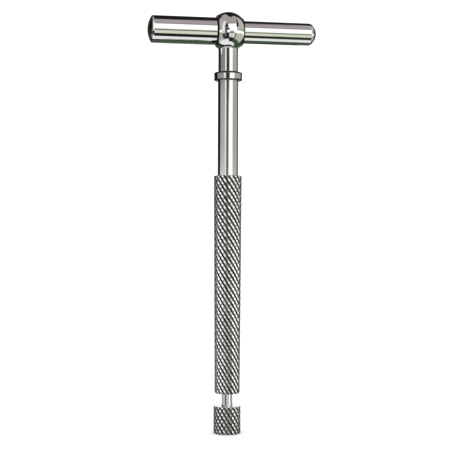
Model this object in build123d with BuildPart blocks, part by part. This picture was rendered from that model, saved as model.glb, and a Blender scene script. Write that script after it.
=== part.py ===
from build123d import *

import os
from math import isclose

# Telescoping gauge: a spring-loaded plunger slides in a T-shaped head and is held by a
# lock rod that a knurled knob pushes up through the handle.
#
# All lengths are in millimetres. +Z runs up the handle, from the knob's flat end face
# at Z = 0 to the head. The T lies along X, with the fixed arm on -X and the plunger
# on +X. The gauge is drawn released, with its plunger fully out.

# ---------------------------------------------------------------- driving dimensions

INCH = 25.4

# Measuring range, tip to tip
CLOSED_LENGTH = 1.250 * INCH
OPEN_LENGTH = 2.125 * INCH
TRAVEL = OPEN_LENGTH - CLOSED_LENGTH

# Heights along the handle
KNOB_LENGTH = 8.6
GRIP_BOTTOM = 12.6
GRIP_TOP = 80.9
SPIGOT_BOTTOM = 102.75
COLLAR_BOTTOM = 110.75
COLLAR_TOP = 113.25
TEE_HEIGHT = 126.2

# Handle radii
KNOB_RADIUS = 4.275
GRIP_RADIUS_TOP = 4.42
GRIP_RADIUS_BOTTOM = 3.98
SHANK_RADIUS = 3.25
SPIGOT_RADIUS = 2.25
COLLAR_RADIUS = 4.45
NECK_RADIUS = 3.15
BALL_RADIUS = 6.25

# Plunger and fixed arm, measured from the handle's axis
FIXED_TIP = 25.6
ARM_RADIUS = 4.365
ARM_SHOULDER = 3.7
ARM_SEAT_RADIUS = 4.15
ARM_SEAT_END = 2.0
SHOULDER_BEVEL_RADIAL = 0.16
SHOULDER_BEVEL_LENGTH = 0.48
PLUNGER_TIP = OPEN_LENGTH - FIXED_TIP
PLUNGER_RADIUS = 3.57
SPRING_BORE_RADIUS = 2.3
MOUTH_FLAT = 4.55

# Contact buttons: a domed face let into the end of each tube, inside a bevelled rim. The
# fixed arm's is the flatter dome, in a deeper seat.
ARM_CROWN = 1.2
ARM_SEAT_DEPTH = 0.8
ARM_BEVEL_RADIAL = 0.165
ARM_BEVEL_LENGTH = 0.45
PLUNGER_CROWN = 1.55
PLUNGER_SEAT_DEPTH = 0.45
PLUNGER_BEVEL_RADIAL = 0.25
PLUNGER_BEVEL_LENGTH = 0.65
RIM_LAND = 0.06
BUTTON_SPIGOT_LENGTH = 1.5
SPRING_RECESS_DEPTH = 0.5

# Spring
SPRING_RADIUS = 2.1
SPRING_WIRE = 0.4
SPRING_TURNS = 42

# Lock: screw, push rod and shoe
SCREW_RADIUS = 1.7
SCREW_BOTTOM = 2.5
SCREW_TOP = 24.6
SCREW_POINT = 0.5
SCREW_BORE_RUNOUT = 0.6
THREAD_BOTTOM = 14.0
THREAD_PITCH = 0.5
THREAD_TURNS = 19
THREAD_DEPTH = 0.27
ROD_RADIUS = 1.2
ROD_TOP = 116.8
SHOE_SHOULDER = 121.4
SHOE_TIP_RADIUS = 0.75
SHOE_TENON_RADIUS = 0.6
SHOE_TENON_LENGTH = 2.0
SLOT_DEPTH = 0.75
LOCK_STROKE = 0.25

# Fits, as radial or axial clearance
PLUNGER_CLEARANCE = 0.03
ROD_CLEARANCE = 0.08
SCREW_CLEARANCE = 0.05
SHOE_TIP_CLEARANCE = 0.05
ROD_END_GAP = 0.05
LOCKED_GAP = 0.02
SPRING_END_GAP = 0.02
CLOSED_GAP = 0.075

# Edge breaks
EDGE_BREAK = 0.25
COLLAR_EDGE = 0.2
KNOB_EDGE = 0.35
NECK_FILLET = 0.2

# ---------------------------------------------------------------- derived dimensions

GUIDE_RADIUS = PLUNGER_RADIUS + PLUNGER_CLEARANCE
ROD_BORE_RADIUS = ROD_RADIUS + ROD_CLEARANCE
SCREW_BORE_RADIUS = SCREW_RADIUS + SCREW_CLEARANCE
SCREW_BORE_TOP = SCREW_TOP + SCREW_BORE_RUNOUT
ROD_BOTTOM = SCREW_TOP + ROD_END_GAP

ARM_RIM = FIXED_TIP - ARM_CROWN
ARM_RIM_RADIUS = ARM_RADIUS - ARM_BEVEL_RADIAL
ARM_BUTTON_RADIUS = ARM_RIM_RADIUS - RIM_LAND
ARM_BUTTON_FACE = ARM_RIM - ARM_SEAT_DEPTH

PLUNGER_RIM = PLUNGER_TIP - PLUNGER_CROWN
PLUNGER_RIM_RADIUS = PLUNGER_RADIUS - PLUNGER_BEVEL_RADIAL
PLUNGER_BUTTON_RADIUS = PLUNGER_RIM_RADIUS - RIM_LAND
PLUNGER_SEAT = PLUNGER_RIM - PLUNGER_SEAT_DEPTH
PLUNGER_SPIGOT_FACE = PLUNGER_SEAT - BUTTON_SPIGOT_LENGTH
PLUNGER_INNER_END = ARM_BUTTON_FACE - CLOSED_GAP - TRAVEL

SPRING_LEFT = -(ARM_BUTTON_FACE + SPRING_RECESS_DEPTH)
SPRING_LENGTH = PLUNGER_SPIGOT_FACE - SPRING_LEFT
COIL_LENGTH = SPRING_LENGTH - SPRING_WIRE - 2 * SPRING_END_GAP

SLOT_WIDTH = 2 * (SHOE_TIP_RADIUS + SHOE_TIP_CLEARANCE)
SLOT_LENGTH = TRAVEL + SLOT_WIDTH + SHOE_TIP_CLEARANCE
SLOT_FLOOR = TEE_HEIGHT - PLUNGER_RADIUS + SLOT_DEPTH
SHOE_TOP = SLOT_FLOOR - LOCK_STROKE - LOCKED_GAP

# The T's axis, and a sketch plane on it with local X along the T and local Y up
TEE_AXIS = Axis((0, 0, TEE_HEIGHT), (1, 0, 0))
TEE_PLANE = Plane(origin=(0, 0, TEE_HEIGHT), x_dir=(1, 0, 0), z_dir=(0, -1, 0))


def tee_cross_section(distance):
    """A plane across the T, at this distance along X, centred on the T's axis."""
    return Plane(origin=(distance, 0, TEE_HEIGHT), x_dir=(0, 1, 0), z_dir=(1, 0, 0))


def save(piece, name):
    """Label a finished piece and write it to its own file."""
    piece.label = name
    export_step(piece, f"parts/{name}.step")


os.makedirs("parts", exist_ok=True)

# ---------------------------------------------------------------- head and fixed arm

with BuildPart() as head_body:
    # Spigot that enters the handle, then the collar and the neck
    with BuildSketch(Plane.XY.offset(SPIGOT_BOTTOM)):
        Circle(SPIGOT_RADIUS)
    extrude(amount=COLLAR_BOTTOM - SPIGOT_BOTTOM)
    with BuildSketch(Plane.XY.offset(COLLAR_BOTTOM)):
        Circle(COLLAR_RADIUS)
    extrude(amount=COLLAR_TOP - COLLAR_BOTTOM)
    collar_edges = head_body.edges().filter_by(
        lambda edge: edge.geom_type == GeomType.CIRCLE and edge.radius > NECK_RADIUS
    )
    chamfer(collar_edges, COLLAR_EDGE)
    with BuildSketch(Plane.XY.offset(COLLAR_TOP)):
        Circle(NECK_RADIUS)
    extrude(amount=TEE_HEIGHT - COLLAR_TOP)

    # Ball, blended into the neck
    with Locations((0, 0, TEE_HEIGHT)):
        Sphere(BALL_RADIUS)
    neck_edges = head_body.edges().filter_by(
        lambda edge: edge.geom_type == GeomType.CIRCLE and isclose(edge.radius, NECK_RADIUS)
    )
    fillet(neck_edges.sort_by(Axis.Z)[-1], NECK_FILLET)

    # Flat for the fixed arm's shoulder, and the seat that takes its reduced end
    with BuildSketch(tee_cross_section(-BALL_RADIUS)):
        Circle(BALL_RADIUS)
    extrude(amount=BALL_RADIUS - ARM_SHOULDER, mode=Mode.SUBTRACT)
    with BuildSketch(tee_cross_section(-BALL_RADIUS)):
        Circle(ARM_SEAT_RADIUS)
    extrude(amount=BALL_RADIUS + ARM_SEAT_END, mode=Mode.SUBTRACT)

    # Guide bore for the plunger, and the flat ring round its mouth
    with BuildSketch(tee_cross_section(0)):
        Circle(GUIDE_RADIUS)
    extrude(amount=BALL_RADIUS, mode=Mode.SUBTRACT)
    with BuildSketch(tee_cross_section(MOUTH_FLAT)):
        Circle(BALL_RADIUS)
    extrude(amount=BALL_RADIUS, mode=Mode.SUBTRACT)

    # Bore for the lock rod, up into the seat
    with BuildSketch(Plane.XY.offset(SPIGOT_BOTTOM)):
        Circle(ROD_BORE_RADIUS)
    extrude(amount=TEE_HEIGHT - SPIGOT_BOTTOM, mode=Mode.SUBTRACT)

save(head_body.part, "head_body")

with BuildPart() as fixed_arm_tube:
    # Reamed tube: guide bore, shoulder with a bevel that leaves a groove against the ball,
    # bevelled rim and seat for the contact button
    with BuildSketch(TEE_PLANE):
        with BuildLine():
            Polyline(
                (ARM_SEAT_END, GUIDE_RADIUS),
                (ARM_SEAT_END, ARM_SEAT_RADIUS),
                (-ARM_SHOULDER, ARM_SEAT_RADIUS),
                (-ARM_SHOULDER, ARM_RADIUS - SHOULDER_BEVEL_RADIAL),
                (-ARM_SHOULDER - SHOULDER_BEVEL_LENGTH, ARM_RADIUS),
                (ARM_BEVEL_LENGTH - ARM_RIM, ARM_RADIUS),
                (-ARM_RIM, ARM_RIM_RADIUS),
                (-ARM_RIM, ARM_BUTTON_RADIUS),
                (-ARM_BUTTON_FACE, ARM_BUTTON_RADIUS),
                (-ARM_BUTTON_FACE, GUIDE_RADIUS),
                close=True,
            )
        make_face()
    revolve(axis=TEE_AXIS)

    # Hole under the middle for the tip of the lock shoe
    with BuildSketch(Plane.XY.offset(TEE_HEIGHT - BALL_RADIUS)):
        Circle(SHOE_TIP_RADIUS + SHOE_TIP_CLEARANCE)
    extrude(amount=BALL_RADIUS, mode=Mode.SUBTRACT)

save(fixed_arm_tube.part, "fixed_arm_tube")

with BuildPart() as fixed_contact:
    # Domed button with a shallow recess that centres the spring
    with BuildSketch(TEE_PLANE):
        with BuildLine():
            TangentArc((-FIXED_TIP, 0), (-ARM_RIM, ARM_BUTTON_RADIUS), tangent=(0, 1))
            Polyline(
                (-ARM_RIM, ARM_BUTTON_RADIUS),
                (-ARM_BUTTON_FACE, ARM_BUTTON_RADIUS),
                (-ARM_BUTTON_FACE, SPRING_BORE_RADIUS),
                (SPRING_LEFT, SPRING_BORE_RADIUS),
                (SPRING_LEFT, 0),
                (-FIXED_TIP, 0),
            )
        make_face()
    revolve(axis=TEE_AXIS)

save(fixed_contact.part, "fixed_contact")

# ---------------------------------------------------------------- plunger and its spring

with BuildPart() as plunger_tube:
    # Tube with the spring's bore, the seat for the contact button and a bevelled rim
    with BuildSketch(TEE_PLANE):
        with BuildLine():
            Polyline(
                (-PLUNGER_INNER_END, SPRING_BORE_RADIUS),
                (-PLUNGER_INNER_END, PLUNGER_RADIUS - RIM_LAND),
                (-PLUNGER_INNER_END + RIM_LAND, PLUNGER_RADIUS),
                (PLUNGER_RIM - PLUNGER_BEVEL_LENGTH, PLUNGER_RADIUS),
                (PLUNGER_RIM, PLUNGER_RIM_RADIUS),
                (PLUNGER_RIM, PLUNGER_BUTTON_RADIUS),
                (PLUNGER_SEAT, PLUNGER_BUTTON_RADIUS),
                (PLUNGER_SEAT, SPRING_BORE_RADIUS),
                close=True,
            )
        make_face()
    revolve(axis=TEE_AXIS)

    # Key slot along the underside: its flat floor takes the lock shoe, its sides stop the
    # plunger turning, and its inner end stops it coming out
    with BuildSketch(Plane.XY.offset(SLOT_FLOOR)):
        with Locations((SLOT_LENGTH / 2 - SLOT_WIDTH / 2, 0)):
            SlotOverall(SLOT_LENGTH, SLOT_WIDTH)
    extrude(amount=-PLUNGER_RADIUS, mode=Mode.SUBTRACT)

save(plunger_tube.part, "plunger_tube")

with BuildPart() as plunger_contact:
    # Domed button on a spigot that enters the tube and carries the spring
    with BuildSketch(TEE_PLANE):
        with BuildLine():
            TangentArc((PLUNGER_TIP, 0), (PLUNGER_RIM, PLUNGER_BUTTON_RADIUS), tangent=(0, 1))
            Polyline(
                (PLUNGER_RIM, PLUNGER_BUTTON_RADIUS),
                (PLUNGER_SEAT, PLUNGER_BUTTON_RADIUS),
                (PLUNGER_SEAT, SPRING_BORE_RADIUS),
                (PLUNGER_SPIGOT_FACE, SPRING_BORE_RADIUS),
                (PLUNGER_SPIGOT_FACE, 0),
                (PLUNGER_TIP, 0),
            )
        make_face()
    revolve(axis=TEE_AXIS)

save(plunger_contact.part, "plunger_contact")

with BuildPart() as plunger_spring:
    # Coil spring, from the fixed contact's recess to the plunger contact's spigot
    with BuildLine() as coil:
        Helix(
            pitch=COIL_LENGTH / SPRING_TURNS,
            height=COIL_LENGTH,
            radius=SPRING_RADIUS - SPRING_WIRE / 2,
            center=(SPRING_LEFT + SPRING_END_GAP + SPRING_WIRE / 2, 0, TEE_HEIGHT),
            direction=(1, 0, 0),
        )
    with BuildSketch(Plane(origin=coil.line @ 0, z_dir=coil.line % 0)):
        Circle(SPRING_WIRE / 2)
    sweep(is_frenet=True)

save(plunger_spring.part, "plunger_spring")

# ---------------------------------------------------------------- handle

with BuildPart() as handle_stem:
    # Plain bar; the grip covers its lower part
    with BuildSketch(Plane.XY.offset(GRIP_BOTTOM)):
        Circle(SHANK_RADIUS)
    extrude(amount=COLLAR_BOTTOM - GRIP_BOTTOM)
    chamfer(handle_stem.edges().group_by(Axis.Z)[0], EDGE_BREAK)

    # Bored through for the lock rod, opened out for the screw below and the head's
    # spigot above
    with BuildSketch(Plane.XY.offset(GRIP_BOTTOM)):
        Circle(ROD_BORE_RADIUS)
    extrude(amount=COLLAR_BOTTOM - GRIP_BOTTOM, mode=Mode.SUBTRACT)
    with BuildSketch(Plane.XY.offset(GRIP_BOTTOM)):
        Circle(SCREW_BORE_RADIUS)
    extrude(amount=SCREW_BORE_TOP - GRIP_BOTTOM, mode=Mode.SUBTRACT)
    with BuildSketch(Plane.XY.offset(SPIGOT_BOTTOM)):
        Circle(SPIGOT_RADIUS)
    extrude(amount=COLLAR_BOTTOM - SPIGOT_BOTTOM, mode=Mode.SUBTRACT)

save(handle_stem.part, "handle_stem")

with BuildPart() as grip_sleeve:
    # Slightly tapered sleeve, drawn to the crests of its knurling
    with BuildSketch(Plane.XZ):
        with BuildLine():
            Polyline(
                (SHANK_RADIUS, GRIP_BOTTOM),
                (GRIP_RADIUS_BOTTOM - EDGE_BREAK, GRIP_BOTTOM),
                (GRIP_RADIUS_BOTTOM, GRIP_BOTTOM + EDGE_BREAK),
                (GRIP_RADIUS_TOP, GRIP_TOP - EDGE_BREAK),
                (GRIP_RADIUS_TOP - EDGE_BREAK, GRIP_TOP),
                (SHANK_RADIUS, GRIP_TOP),
                close=True,
            )
        make_face()
    revolve(axis=Axis.Z)

save(grip_sleeve.part, "grip_sleeve")

# ---------------------------------------------------------------- lock

with BuildPart() as lock_rod:
    # Push rod with a drilled top for the shoe's tenon
    with BuildSketch(Plane.XY.offset(ROD_BOTTOM)):
        Circle(ROD_RADIUS)
    extrude(amount=ROD_TOP - ROD_BOTTOM)
    chamfer(lock_rod.edges().group_by(Axis.Z)[0], EDGE_BREAK)
    with BuildSketch(Plane.XY.offset(ROD_TOP)):
        Circle(SHOE_TENON_RADIUS)
    extrude(amount=-SHOE_TENON_LENGTH, mode=Mode.SUBTRACT)

save(lock_rod.part, "lock_rod")

with BuildPart() as lock_shoe:
    # Soft shoe: tenon, body and the tip that enters the plunger's key slot
    with BuildSketch(Plane.XY.offset(ROD_TOP - SHOE_TENON_LENGTH)):
        Circle(SHOE_TENON_RADIUS)
    extrude(amount=SHOE_TENON_LENGTH)
    with BuildSketch(Plane.XY.offset(ROD_TOP)):
        Circle(ROD_RADIUS)
    extrude(amount=SHOE_SHOULDER - ROD_TOP)
    with BuildSketch(Plane.XY.offset(SHOE_SHOULDER)):
        Circle(SHOE_TIP_RADIUS)
    extrude(amount=SHOE_TOP - SHOE_SHOULDER)

save(lock_shoe.part, "lock_shoe")

with BuildPart() as lock_screw:
    # Plain below, where it shows between the knob and the grip, and threaded above
    grooves = []
    for turn in range(THREAD_TURNS):
        groove_bottom = THREAD_BOTTOM + turn * THREAD_PITCH
        grooves.append((SCREW_RADIUS, groove_bottom))
        grooves.append((SCREW_RADIUS - THREAD_DEPTH, groove_bottom + THREAD_PITCH / 2))
    thread_top = THREAD_BOTTOM + THREAD_TURNS * THREAD_PITCH
    with BuildSketch(Plane.XZ):
        with BuildLine():
            Polyline(
                (0, SCREW_BOTTOM),
                (SCREW_RADIUS, SCREW_BOTTOM),
                *grooves,
                (SCREW_RADIUS, thread_top),
                (SCREW_RADIUS, SCREW_TOP - SCREW_POINT),
                (SCREW_RADIUS - SCREW_POINT, SCREW_TOP),
                (0, SCREW_TOP),
                close=True,
            )
        make_face()
    revolve(axis=Axis.Z)

save(lock_screw.part, "lock_screw")

with BuildPart() as lock_knob:
    # Drawn to the crests of its knurling, with a blind hole for the screw
    with BuildSketch(Plane.XY):
        Circle(KNOB_RADIUS)
    extrude(amount=KNOB_LENGTH)
    chamfer(lock_knob.edges().filter_by(GeomType.CIRCLE), KNOB_EDGE)
    with BuildSketch(Plane.XY.offset(SCREW_BOTTOM)):
        Circle(SCREW_RADIUS)
    extrude(amount=KNOB_LENGTH - SCREW_BOTTOM, mode=Mode.SUBTRACT)

save(lock_knob.part, "lock_knob")
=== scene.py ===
from math import cos, pi, radians, sin

import bmesh
import bpy
from mathutils import Matrix, Vector


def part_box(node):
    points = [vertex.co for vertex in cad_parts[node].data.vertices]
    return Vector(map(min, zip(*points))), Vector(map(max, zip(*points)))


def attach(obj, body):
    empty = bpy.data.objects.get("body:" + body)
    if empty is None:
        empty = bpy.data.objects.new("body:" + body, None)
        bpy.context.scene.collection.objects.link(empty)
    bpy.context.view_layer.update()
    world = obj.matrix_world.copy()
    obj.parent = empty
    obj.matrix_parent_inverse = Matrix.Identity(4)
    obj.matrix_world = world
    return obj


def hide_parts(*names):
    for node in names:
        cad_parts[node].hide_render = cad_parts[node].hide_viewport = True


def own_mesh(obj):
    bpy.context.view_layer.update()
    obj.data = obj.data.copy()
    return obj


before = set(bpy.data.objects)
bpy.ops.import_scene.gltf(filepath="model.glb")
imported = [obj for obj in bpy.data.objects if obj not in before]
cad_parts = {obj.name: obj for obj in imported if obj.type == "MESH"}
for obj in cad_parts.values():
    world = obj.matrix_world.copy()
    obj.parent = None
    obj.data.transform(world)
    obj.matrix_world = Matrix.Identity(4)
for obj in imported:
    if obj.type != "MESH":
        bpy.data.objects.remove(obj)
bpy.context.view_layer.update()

# Looks for the telescoping gauge. All lengths are in metres, in the CAD model's frame:
# the handle stands on Z, the T lies along X, and the knob's end face is at Z = 0.

MM = 0.001

# The camera stands in front of the handle, a little towards the fixed arm, and level
CAMERA_AZIMUTH = -11.0
CAMERA_DISTANCE = 359 * MM
CAMERA_HEIGHT = 65.4 * MM
CAMERA_SHIFT_LEFT = 0.84 * MM
CAMERA_ROLL = 0.2
CAMERA_LENS = 91.3

# Knurling: two crossed families of grooves, each with this many round the piece. The first
# family, which falls to the right, is cut deeper than the second, above all on the grip.
# A flank is a share of the spacing between grooves.
KNURL_STARTS = 19
KNURL_PITCH = 2.12 * MM
FIRST_DEPTH, FIRST_FLANK = 0.32 * MM, 0.32
GRIP_SECOND_DEPTH, GRIP_SECOND_FLANK = 0.08 * MM, 0.16
KNOB_SECOND_DEPTH, KNOB_SECOND_FLANK = 0.14 * MM, 0.22
KNURL_END_CHAMFER = 0.25 * MM
ROUND_STEPS = 96

# The grip tapers evenly from its largest radius, at the top, to its foot
GRIP_FOOT_RADIUS = 3.98 * MM

# Spring
SPRING_TURNS = 42
SPRING_WIRE = 0.4 * MM
WIRE_STEPS = 8
TURN_STEPS = 20

ALONG_X, ALONG_Z = 0, 2

# Noise textures: their octaves, and where their values mostly lie
NOISE_DETAIL = 3.0
NOISE_RANGE = 0.3, 0.7

# Turned and polished metal: patches of tint, and fine rings with a slow drift along them
PATCH_SCALE = 180.0
RING_SCALE, RING_DRIFT_SCALE = 9000.0, 60.0
PATCH_SHARE, RING_SHARE = 0.6, 0.4
RING_BUMP = 0.02
BUMP_DISTANCE = 0.02 * MM

# Painted shade: dark bands painted into the joints round the T, and along both edges of the
# collar, where those gaps fall into shade, in bands of (axis, place of the middle, half the
# width).
# It thins out between two shares of the half width, and bands along X start above a height that is
# just under the T.
JOINT_SHADE = (0.03, 0.03, 0.027, 1)
JOINT_SHADE_DULLNESS = 0.3
SHADE_FULL_TO, SHADE_GONE_BY = 0.7, 1.1
TEE_FROM_HEIGHT, TEE_FADE = 119 * MM, 1 * MM
ARM_JOINT_SHADE = (ALONG_X, -3.95 * MM, 0.35 * MM)
MOUTH_JOINT_SHADE = (ALONG_X, 4.45 * MM, 0.42 * MM)
COLLAR_TOP_SHADE = (ALONG_Z, 113.15 * MM, 0.42 * MM)
COLLAR_FOOT_SHADE = (ALONG_Z, 110.8 * MM, 0.3 * MM)

# Knurling: how deep the painted groove shade starts and is full, as shares of the first family's
# depth, and how far a face may turn towards Z before it is a bare end face
GROOVE_SHADE = (0.012, 0.012, 0.010, 1)
GROOVE_SHADE_FROM, GROOVE_SHADE_FULL = 0.06, 0.25
SMUDGE_SCALE, SMUDGE_RANGE, SMUDGE_LEAST = 500.0, (0.3, 0.6), 0.93
END_FACE_FROM, END_FACE_FULL = 0.6, 0.9
CREST, CREST_WORN = (0.97, 0.97, 0.96, 1), (0.90, 0.91, 0.89, 1)
CREST_ROUGHNESS, GROOVE_ROUGHNESS = 0.1, 0.6
GROOVE_SPECULAR = 0.1
GRAIN_SCALE, GRAIN_DETAIL, GRAIN_BUMP = 9000.0, 2.0, 0.04

scene = bpy.context.scene


# ---------------------------------------------------------------- node helpers


class Tree:
    """Short forms for building one shader node tree."""

    def __init__(self, tree):
        self.tree = tree
        tree.nodes.clear()

    def add(self, kind, **values):
        """A node with its properties set by name, and its inputs by their socket names."""
        node = self.tree.nodes.new(kind)
        for name, value in values.items():
            if hasattr(node, name):
                setattr(node, name, value)
            else:
                self.feed(node.inputs[name.replace("_", " ")], value)
        return node

    def feed(self, socket, value):
        """Links a socket to a socket, or sets a plain value on it."""
        if isinstance(value, bpy.types.NodeSocket):
            self.tree.links.new(value, socket)
        else:
            socket.default_value = value

    def math(self, operation, *values):
        node = self.add("ShaderNodeMath", operation=operation)
        for socket, value in zip(node.inputs, values):
            self.feed(socket, value)
        return node.outputs[0]

    def remap(self, value, low, high, to_low=0.0, to_high=1.0, smooth=False):
        """value, carried from low..high to to_low..to_high and held there beyond."""
        node = self.add("ShaderNodeMapRange")
        node.interpolation_type = "SMOOTHSTEP" if smooth else "LINEAR"
        for socket, given in zip(node.inputs, (value, low, high, to_low, to_high)):
            self.feed(socket, given)
        return node.outputs[0]

    def mix(self, share, first, second):
        node = self.add("ShaderNodeMix", data_type="RGBA")
        self.feed(node.inputs[0], share)
        self.feed(node.inputs[6], first)
        self.feed(node.inputs[7], second)
        return node.outputs[2]

    def noise(self, vector, scale, detail=NOISE_DETAIL):
        node = self.add("ShaderNodeTexNoise")
        self.feed(node.inputs["Vector"], vector)
        self.feed(node.inputs["Scale"], scale)
        self.feed(node.inputs["Detail"], detail)
        return node.outputs[0]

    def stretch(self, vector, amounts):
        """vector, scaled along each axis."""
        node = self.add("ShaderNodeMapping")
        self.feed(node.inputs["Vector"], vector)
        node.inputs["Scale"].default_value = amounts
        return node.outputs[0]


# ---------------------------------------------------------------- materials


def metal(name, colour, tint, roughness, marks_axis, shade_bands=()):
    """Turned and polished metal: fine rings across marks_axis, slight changes of tint and polish
    over the surface, and dark bands of painted shade at the joints. roughness is (smoothest,
    roughest)."""
    material = bpy.data.materials.new(name)
    material.use_nodes = True
    tree = Tree(material.node_tree)
    place = tree.add("ShaderNodeTexCoord").outputs["Object"]

    ring_scale = [RING_DRIFT_SCALE] * 3
    ring_scale[marks_axis] = RING_SCALE
    rings = tree.noise(tree.stretch(place, ring_scale), 1.0)
    patches = tree.noise(place, PATCH_SCALE)
    bump = tree.add("ShaderNodeBump", Strength=RING_BUMP, Distance=BUMP_DISTANCE, Height=rings)

    shader = tree.add("ShaderNodeBsdfPrincipled", Metallic=1.0)
    surface = tree.mix(tree.remap(patches, *NOISE_RANGE), colour, tint)
    patch_part = tree.math("MULTIPLY", patches, PATCH_SHARE)
    ring_part = tree.math("MULTIPLY", rings, RING_SHARE)
    polish = tree.remap(tree.math("ADD", patch_part, ring_part), *NOISE_RANGE, *roughness)
    if shade_bands:
        axes = tree.add("ShaderNodeSeparateXYZ", Vector=place).outputs
        on_tee = tree.remap(axes[ALONG_Z], TEE_FROM_HEIGHT, TEE_FROM_HEIGHT + TEE_FADE)
    # Painted shade: each band darkens and dulls the metal across a joint where shade falls
    for axis, middle, half_width in shade_bands:
        away = tree.math("ABSOLUTE", tree.math("SUBTRACT", axes[axis], middle))
        painted_shade = tree.remap(away, SHADE_FULL_TO * half_width, SHADE_GONE_BY * half_width, 1.0, 0.0)
        if axis == ALONG_X:
            painted_shade = tree.math("MULTIPLY", painted_shade, on_tee)
        surface = tree.mix(painted_shade, surface, JOINT_SHADE)
        polish = tree.math("ADD", polish, tree.math("MULTIPLY", painted_shade, JOINT_SHADE_DULLNESS))
    tree.feed(shader.inputs["Base Color"], surface)
    tree.feed(shader.inputs["Roughness"], polish)
    tree.feed(shader.inputs["Normal"], bump.outputs[0])
    tree.add("ShaderNodeOutputMaterial", Surface=shader.outputs[0])
    return material


def knurled_metal(name, low, high):
    """Knurled steel: bright worn crests, and grooves darkened and dulled with painted shade. low
    and high are (height, crest radius) at the two ends of the piece."""
    material = bpy.data.materials.new(name)
    material.use_nodes = True
    tree = Tree(material.node_tree)
    place = tree.add("ShaderNodeTexCoord").outputs["Object"]
    axes = tree.add("ShaderNodeSeparateXYZ", Vector=place)
    across = tree.math("MULTIPLY", axes.outputs[0], axes.outputs[0])
    across = tree.math("ADD", across, tree.math("MULTIPLY", axes.outputs[1], axes.outputs[1]))
    radius = tree.math("SQRT", across)
    crest = tree.remap(axes.outputs[ALONG_Z], low[0], high[0], low[1], high[1])
    depth = tree.math("SUBTRACT", crest, radius)

    smudge = tree.noise(place, SMUDGE_SCALE)
    # Painted shade: the further below the crest, the darker, duller and less metallic the surface
    painted_shade = tree.remap(depth, GROOVE_SHADE_FROM * FIRST_DEPTH, GROOVE_SHADE_FULL * FIRST_DEPTH)
    painted_shade = tree.math("MULTIPLY", painted_shade, tree.remap(smudge, *SMUDGE_RANGE, SMUDGE_LEAST, 1.0))
    facing = tree.add("ShaderNodeNewGeometry").outputs["True Normal"]
    facing = tree.add("ShaderNodeSeparateXYZ", Vector=facing).outputs[ALONG_Z]
    side = tree.remap(tree.math("ABSOLUTE", facing), END_FACE_FROM, END_FACE_FULL, 1.0, 0.0)
    painted_shade = tree.math("MULTIPLY", painted_shade, side)

    shader = tree.add("ShaderNodeBsdfPrincipled", Specular_IOR_Level=GROOVE_SPECULAR)
    colour = tree.mix(tree.remap(smudge, *NOISE_RANGE), CREST, CREST_WORN)
    tree.feed(shader.inputs["Base Color"], tree.mix(painted_shade, colour, GROOVE_SHADE))
    tree.feed(shader.inputs["Metallic"], tree.remap(painted_shade, 0.0, 1.0, 1.0, 0.0))
    roughness = tree.remap(painted_shade, 0.0, 1.0, CREST_ROUGHNESS, GROOVE_ROUGHNESS)
    tree.feed(shader.inputs["Roughness"], roughness)
    grain = tree.noise(place, GRAIN_SCALE, GRAIN_DETAIL)
    bump = tree.add("ShaderNodeBump", Strength=GRAIN_BUMP, Distance=BUMP_DISTANCE, Height=grain)
    tree.feed(shader.inputs["Normal"], bump.outputs[0])
    tree.add("ShaderNodeOutputMaterial", Surface=shader.outputs[0])
    return material


STEEL, STEEL_TINT = (0.80, 0.80, 0.79, 1), (0.75, 0.76, 0.74, 1)
DOME, DOME_TINT = (0.62, 0.62, 0.62, 1), (0.56, 0.56, 0.57, 1)
ROD, ROD_TINT = (0.78, 0.78, 0.77, 1), (0.72, 0.72, 0.71, 1)
SPRING, SPRING_TINT = (0.52, 0.52, 0.54, 1), (0.44, 0.45, 0.47, 1)
BRASS, BRASS_TINT = (0.80, 0.62, 0.30, 1), (0.72, 0.55, 0.26, 1)
HEAD_SHADE_BANDS = (MOUTH_JOINT_SHADE, COLLAR_TOP_SHADE, COLLAR_FOOT_SHADE)

head_steel = metal("polished_head", STEEL, STEEL_TINT, (0.05, 0.09), ALONG_Z, HEAD_SHADE_BANDS)
stem_steel = metal("polished_stem", STEEL, STEEL_TINT, (0.06, 0.11), ALONG_Z)
arm_steel = metal("ground_arm", STEEL, STEEL_TINT, (0.05, 0.10), ALONG_X, (ARM_JOINT_SHADE,))
plunger_steel = metal("ground_plunger", STEEL, STEEL_TINT, (0.05, 0.10), ALONG_X)
dome_steel = metal("hardened_dome", DOME, DOME_TINT, (0.14, 0.2), ALONG_X)
rod_steel = metal("plain_rod", ROD, ROD_TINT, (0.03, 0.06), ALONG_Z)
spring_steel = metal("spring_wire", SPRING, SPRING_TINT, (0.25, 0.35), ALONG_X)
shoe_brass = metal("shoe_brass", BRASS, BRASS_TINT, (0.2, 0.3), ALONG_Z)

CAD_MATERIALS = {
    "head_body": head_steel,
    "fixed_arm_tube": arm_steel,
    "plunger_tube": plunger_steel,
    "fixed_contact": dome_steel,
    "plunger_contact": dome_steel,
    "handle_stem": stem_steel,
    "lock_rod": rod_steel,
    "lock_screw": rod_steel,
    "lock_shoe": shoe_brass,
}
for node, material in CAD_MATERIALS.items():
    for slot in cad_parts[node].material_slots:
        slot.material = material


# ---------------------------------------------------------------- mesh helpers


def new_object(name, mesh):
    piece = bpy.data.objects.new(name, mesh)
    scene.collection.objects.link(piece)
    return piece


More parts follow.
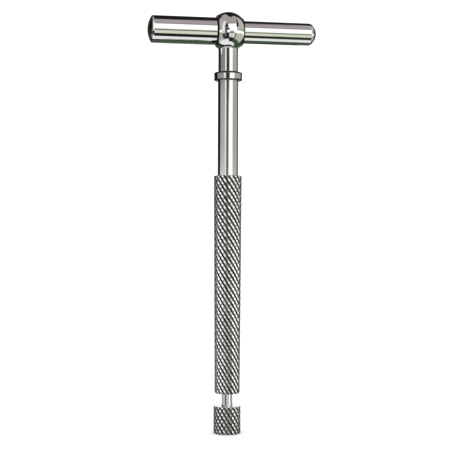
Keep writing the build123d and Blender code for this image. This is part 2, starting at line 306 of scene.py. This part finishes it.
def revolved(name, profile, steps=ROUND_STEPS):
    """A closed solid turned about Z from a profile of (radius, height) points, in order
    round the section. A point on the axis becomes one vertex."""
    shape = bmesh.new()
    rings = []
    for radius, height in profile:
        if radius == 0:
            rings.append([shape.verts.new((0, 0, height))] * steps)
            continue
        angles = [2 * pi * k / steps for k in range(steps)]
        rings.append([shape.verts.new((radius * cos(a), radius * sin(a), height)) for a in angles])
    for ring, following in zip(rings, rings[1:] + rings[:1]):
        for k in range(steps):
            corners = [ring[k], ring[(k + 1) % steps], following[(k + 1) % steps], following[k]]
            corners = list(dict.fromkeys(corners))
            if len(corners) > 2:
                shape.faces.new(corners)
    bmesh.ops.recalc_face_normals(shape, faces=shape.faces)
    mesh = bpy.data.meshes.new(name)
    shape.to_mesh(mesh)
    shape.free()
    return new_object(name, mesh)


def groove_depth(phase, depth, flank):
    """Depth of one family's cut, from its full depth in the groove to 0 on its crest."""
    return depth * (1 - min(1.0, min(phase, 1 - phase) / flank))


def knurled_bar(name, bottom, top, crest, second_depth, second_flank):
    """A closed bar covered in diamond knurling, a little longer than bottom to top.
    crest(height) is the radius over the crests."""
    rows = range(-2, int((top - bottom) / (KNURL_PITCH / 2)) + 3)
    first_steps = (0.0, FIRST_FLANK, 1 - FIRST_FLANK, 1.0)
    second_steps = (0.0, second_flank, 1 - second_flank, 1.0)
    shape = bmesh.new()
    made = {}

    def vertex(first, second):
        """The vertex at these whole-and-part counts of the two groove families."""
        turn = (first + second) / (2 * KNURL_STARTS)
        height = bottom + (first - second) * KNURL_PITCH / 2
        key = (round((turn % 1.0) * 2 * KNURL_STARTS, 4) % (2 * KNURL_STARTS), round(height, 8))
        if key not in made:
            cut = max(
                groove_depth(first % 1.0, FIRST_DEPTH, FIRST_FLANK),
                groove_depth(second % 1.0, second_depth, second_flank),
            )
            radius = crest(height) - cut
            angle = 2 * pi * turn
            made[key] = shape.verts.new((radius * cos(angle), radius * sin(angle), height))
        return made[key]

    for row in rows:
        for column in range(KNURL_STARTS):
            # a diamond's whole counts: their difference is its row, their sum its place round
            second = column
            first = second + row
            for i, (low_a, high_a) in enumerate(zip(first_steps, first_steps[1:])):
                for j, (low_b, high_b) in enumerate(zip(second_steps, second_steps[1:])):
                    corners = [
                        vertex(first + low_a, second + low_b),
                        vertex(first + high_a, second + low_b),
                        vertex(first + high_a, second + high_b),
                        vertex(first + low_a, second + high_b),
                    ]
                    if i != 1 and j != 1:
                        # a corner of the diamond: its hip runs from the groove to the crest
                        turn_by = 0 if i == j else 1
                        corners = corners[turn_by:] + corners[:turn_by]
                        shape.faces.new((corners[0], corners[1], corners[2]))
                        shape.faces.new((corners[0], corners[2], corners[3]))
                    else:
                        shape.faces.new(corners)

    # the two ragged ends are closed with one vertex each, well outside the finished piece
    rims = [edge for edge in shape.edges if len(edge.link_faces) == 1]
    middle = (bottom + top) / 2
    for side in (-1, 1):
        rim = [edge for edge in rims if (edge.verts[0].co.z - middle) * side > 0]
        reach = (top - bottom) / 2 + 3 * KNURL_PITCH
        hub = shape.verts.new((0, 0, middle + side * reach))
        for edge in rim:
            shape.faces.new((edge.verts[0], edge.verts[1], hub))
    bmesh.ops.recalc_face_normals(shape, faces=shape.faces)
    mesh = bpy.data.meshes.new(name)
    shape.to_mesh(mesh)
    shape.free()
    return new_object(name, mesh)


def keep_common(piece, tool):
    """piece becomes the part of it that lies inside tool, and tool is removed."""
    cut = piece.modifiers.new("common", "BOOLEAN")
    cut.operation = "INTERSECT"
    cut.solver = "EXACT"
    cut.object = tool
    bpy.context.view_layer.update()
    graph = bpy.context.evaluated_depsgraph_get()
    mesh = bpy.data.meshes.new_from_object(piece.evaluated_get(graph))
    piece.modifiers.clear()
    piece.data = mesh
    bpy.data.objects.remove(tool)
    return piece


# ---------------------------------------------------------------- knurled grip and knob

grip_low, grip_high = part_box("grip_sleeve")
knob_low, knob_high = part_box("lock_knob")
grip_span = grip_low.z, grip_high.z
knob_span = knob_low.z, knob_high.z
stem_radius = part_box("handle_stem")[1].x
screw_low, screw_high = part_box("lock_screw")
screw_radius = screw_high.x
knob_radius = knob_high.x

grip_top_radius = grip_high.x


def grip_crest(height):
    share = (height - grip_low.z) / (grip_high.z - grip_low.z)
    return GRIP_FOOT_RADIUS + (grip_top_radius - GRIP_FOOT_RADIUS) * share


def knob_crest(height):
    return knob_radius


def envelope(name, low, high, bore, radius_low, radius_high, bore_floor=None):
    """The chamfered outline that trims a knurled bar. With a bore floor the bore is blind."""
    wide = 1 * MM
    profile = [
        (radius_low - KNURL_END_CHAMFER, low),
        (radius_low + wide, low + KNURL_END_CHAMFER + wide),
        (radius_high + wide, high - KNURL_END_CHAMFER - wide),
        (radius_high - KNURL_END_CHAMFER, high),
        (bore, high),
    ]
    if bore_floor is None:
        profile += [(bore, low)]
    else:
        profile += [(bore, bore_floor), (0, bore_floor), (0, low)]
    return revolved(name, profile)


knurled_grip = keep_common(
    knurled_bar("knurled_grip", *grip_span, grip_crest, GRIP_SECOND_DEPTH, GRIP_SECOND_FLANK),
    envelope("grip_outline", *grip_span, stem_radius, GRIP_FOOT_RADIUS, grip_top_radius),
)
knurled_knob = keep_common(
    knurled_bar("knurled_knob", *knob_span, knob_crest, KNOB_SECOND_DEPTH, KNOB_SECOND_FLANK),
    envelope("knob_outline", *knob_span, screw_radius, knob_radius, knob_radius, screw_low.z),
)
grip_ends = (grip_low.z, GRIP_FOOT_RADIUS), (grip_high.z, grip_top_radius)
knurled_grip.data.materials.append(knurled_metal("knurled_grip_steel", *grip_ends))
knob_ends = (knob_low.z, knob_radius), (knob_high.z, knob_radius)
knurled_knob.data.materials.append(knurled_metal("knurled_knob_steel", *knob_ends))
for piece, node, body in (
    (knurled_grip, "grip_sleeve", "frame"),
    (knurled_knob, "lock_knob", "knob"),
):
    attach(piece, body)
    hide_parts(node)


# ---------------------------------------------------------------- spring


def coil_spring(name, low, high):
    """Round wire wound along X, filling the box from low to high."""
    middle_y, middle_z = (low.y + high.y) / 2, (low.z + high.z) / 2
    wire = SPRING_WIRE / 2
    radius = (high.z - low.z) / 2 - wire
    start, end = low.x + wire, high.x - wire
    count = SPRING_TURNS * TURN_STEPS
    shape = bmesh.new()
    rings = []
    for k in range(count + 1):
        angle = 2 * pi * k / TURN_STEPS
        outward = Vector((0, cos(angle), sin(angle)))
        centre = Vector((start + (end - start) * k / count, middle_y, middle_z)) + outward * radius
        ring = []
        for j in range(WIRE_STEPS):
            around = 2 * pi * j / WIRE_STEPS
            offset = outward * (wire * cos(around)) + Vector((wire * sin(around), 0, 0))
            ring.append(shape.verts.new(centre + offset))
        rings.append(ring)
    for ring, following in zip(rings, rings[1:]):
        for j in range(WIRE_STEPS):
            k = (j + 1) % WIRE_STEPS
            shape.faces.new((ring[j], ring[k], following[k], following[j])).smooth = True
    shape.faces.new(rings[0])
    shape.faces.new(rings[-1])
    bmesh.ops.recalc_face_normals(shape, faces=shape.faces)
    mesh = bpy.data.meshes.new(name)
    shape.to_mesh(mesh)
    shape.free()
    return new_object(name, mesh)


spring_low, spring_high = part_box("plunger_spring")
spring = coil_spring("coil_spring", spring_low, spring_high)
spring.data.materials.append(spring_steel)
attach(spring, "frame")
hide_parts("plunger_spring")
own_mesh(spring)


# ---------------------------------------------------------------- floor and studio

FLOOR_SIZE = 4.0
FLOOR_WHITE = (0.93, 0.93, 0.93, 1)
DAYLIGHT = 1.35

floor_shape = bmesh.new()
bmesh.ops.create_grid(floor_shape, x_segments=1, y_segments=1, size=FLOOR_SIZE / 2)
floor_mesh = bpy.data.meshes.new("floor")
floor_shape.to_mesh(floor_mesh)
floor_shape.free()
floor = new_object("floor", floor_mesh)
floor_paper = bpy.data.materials.new("pale_paper")
floor_paper.use_nodes = True
paper_shader = floor_paper.node_tree.nodes["Principled BSDF"]
paper_shader.inputs["Base Color"].default_value = FLOOR_WHITE
paper_shader.inputs["Roughness"].default_value = 1.0
paper_shader.inputs["Specular IOR Level"].default_value = 0.0
floor.data.materials.append(floor_paper)
floor.visible_glossy = False

# The studio that the polished metal reflects. Each panel is a softbox, a board or a black
# flag, as (azimuth, elevation, width, height, softness, slant, colour), in degrees: azimuth
# 0 is straight behind the camera and 90 is to its right, and slant is how far the panel
# leans to the right for each degree it rises. Later panels stand before earlier ones.
BLACK = (0.012, 0.012, 0.012, 1)
STUDIO = {
    "back_fill": (180, 0, 90, 90, 20, 0, (0.06, 0.07, 0.06, 1)),
    "back_softbox": (175, 12, 42, 44, 4, 0, (0.95, 0.96, 0.95, 1)),
    "back_table": (175, -24, 46, 14, 3, 0, (0.60, 0.62, 0.58, 1)),
    "back_ceiling": (236, 80, 68, 32, 4, 0, (0.46, 0.41, 0.42, 1)),
    "back_floor": (180, -56, 100, 50, 12, 0, (0.07, 0.10, 0.07, 1)),
    "right_floor": (92, -62, 110, 56, 8, 0, (0.05, 0.085, 0.05, 1)),
    "ceiling": (15, 56, 210, 42, 5, 0, (0.46, 0.41, 0.42, 1)),
    "ceiling_top": (-30, 88, 160, 26, 4, 0, (0.46, 0.41, 0.42, 1)),
    "ceiling_edge": (15, 41, 210, 12, 4, 0, (0.34, 0.29, 0.30, 1)),
    "left_wall": (-66, 5, 57, 110, 5, 0, (0.50, 0.48, 0.475, 1)),
    "right_board": (80, 4, 62, 96, 6, 0, (0.60, 0.58, 0.53, 1)),
    "left_light": (-69, -4.5, 64, 12, 2, 0, (1.7, 1.7, 1.67, 1)),
    "right_light": (80, -4.5, 66, 12, 2, 0, (1.45, 1.46, 1.4, 1)),
    "right_shade": (86, 5.5, 72, 7, 1.5, 0, (0.42, 0.46, 0.38, 1)),
    "high_softbox": (26, 25, 50, 24, 3, 0, (1.5, 1.5, 1.5, 1)),
    "main_softbox": (29, 16, 46, 34, 4, 0, (1.35, 1.35, 1.35, 1)),
    "left_strip": (-28, 18, 18, 70, 3, 0, (0.98, 0.99, 0.97, 1)),
    "cream_board": (24, -27, 36, 25, 3, 0, (0.80, 0.84, 0.69, 1)),
    "low_light": (31, -5.7, 74, 13.6, 2, 0, (1.4, 1.4, 1.38, 1)),
    "front_gap": (22, -5, 26, 6, 2, 0, (0.50, 0.53, 0.46, 1)),
    "front_line": (22, -11, 26, 6, 2, 0, (0.03, 0.03, 0.03, 1)),
    "table": (60, -82, 150, 34, 3, 0, (1.0, 1.02, 1.0, 1)),
    "table_left": (-50, -76, 110, 52, 6, 0, (1.0, 1.02, 1.0, 1)),
    "dark_stand": (-12, -6, 12, 60, 2.5, 0.3, (0.15, 0.16, 0.16, 1)),
    "neck_flag": (2, 8.2, 25, 2.8, 0.8, 0, BLACK),
    "neck_shade": (-66, 8.3, 60, 2.4, 0.7, 0, (0.27, 0.26, 0.26, 1)),
    "rod_wall": (-90, -8.75, 76, 1.6, 0.4, 0, (0.60, 0.60, 0.60, 1)),
    "rod_flag": (-37, -8.75, 26, 1.6, 0.4, 0, BLACK),
    "rod_shade": (112, -8.75, 84, 1.6, 0.4, 0, (0.40, 0.38, 0.41, 1)),
    "black_flag": (66, 38, 14, 38, 2, 0.6, BLACK),
}


def build_studio():
    """White light for the floor and the view, and the studio's panels for reflections."""
    world = bpy.data.worlds.new("studio")
    scene.world = world
    world.use_nodes = True
    world.cycles.sampling_method = "NONE"
    tree = Tree(world.node_tree)
    direction = tree.add("ShaderNodeTexCoord").outputs["Generated"]
    axes = tree.add("ShaderNodeSeparateXYZ", Vector=direction)
    x, y, z = axes.outputs
    to_degrees = 180 / pi
    bearing = tree.math("ARCTAN2", x, tree.math("MULTIPLY", y, -1.0))
    azimuth = tree.math("SUBTRACT", tree.math("MULTIPLY", bearing, to_degrees), CAMERA_AZIMUTH)
    elevation = tree.math("MULTIPLY", tree.math("ARCSINE", z), to_degrees)

    def inside(away, width, softness):
        """1 where away is less than half the width, falling to 0 over the softness."""
        away = tree.math("ABSOLUTE", away)
        return tree.remap(away, width / 2 - softness, width / 2 + softness, 1.0, 0.0, smooth=True)

    colour = BLACK
    for turn, lift, width, height, softness, slant, shade in STUDIO.values():
        above = tree.math("SUBTRACT", elevation, lift)
        beside = tree.math("SUBTRACT", azimuth, turn)
        if slant:
            beside = tree.math("SUBTRACT", beside, tree.math("MULTIPLY", above, slant))
        beside = tree.math("WRAP", beside, 180.0, -180.0)
        share = tree.math(
            "MULTIPLY", inside(beside, width, softness), inside(above, height, softness)
        )
        colour = tree.mix(share, colour, shade)

    reflected = tree.add("ShaderNodeBackground", Color=colour)
    white = tree.add("ShaderNodeBackground", Color=(DAYLIGHT, DAYLIGHT, DAYLIGHT, 1))
    ray = tree.add("ShaderNodeLightPath")
    either = tree.add("ShaderNodeMixShader")
    tree.feed(either.inputs[0], ray.outputs["Is Glossy Ray"])
    tree.feed(either.inputs[1], white.outputs[0])
    tree.feed(either.inputs[2], reflected.outputs[0])
    tree.add("ShaderNodeOutputWorld", Surface=either.outputs[0])


build_studio()


# ---------------------------------------------------------------- camera


def place_camera():
    camera = bpy.data.objects.new("camera", bpy.data.cameras.new("camera"))
    scene.collection.objects.link(camera)
    turn = radians(CAMERA_AZIMUTH)
    back = Vector((sin(turn), -cos(turn), 0))
    right = Vector((cos(turn), sin(turn), 0))
    target = Vector((0, 0, CAMERA_HEIGHT)) - right * CAMERA_SHIFT_LEFT
    camera.location = target + back * CAMERA_DISTANCE
    level = (-back).to_track_quat("-Z", "Y").to_matrix()
    camera.rotation_euler = (level @ Matrix.Rotation(radians(CAMERA_ROLL), 3, "Z")).to_euler()
    camera.data.sensor_width = 36
    camera.data.lens = CAMERA_LENS
    camera.data.clip_start = 0.01
    camera.data.clip_end = 20
    scene.camera = camera


place_camera()
scene.view_settings.view_transform = "Standard"
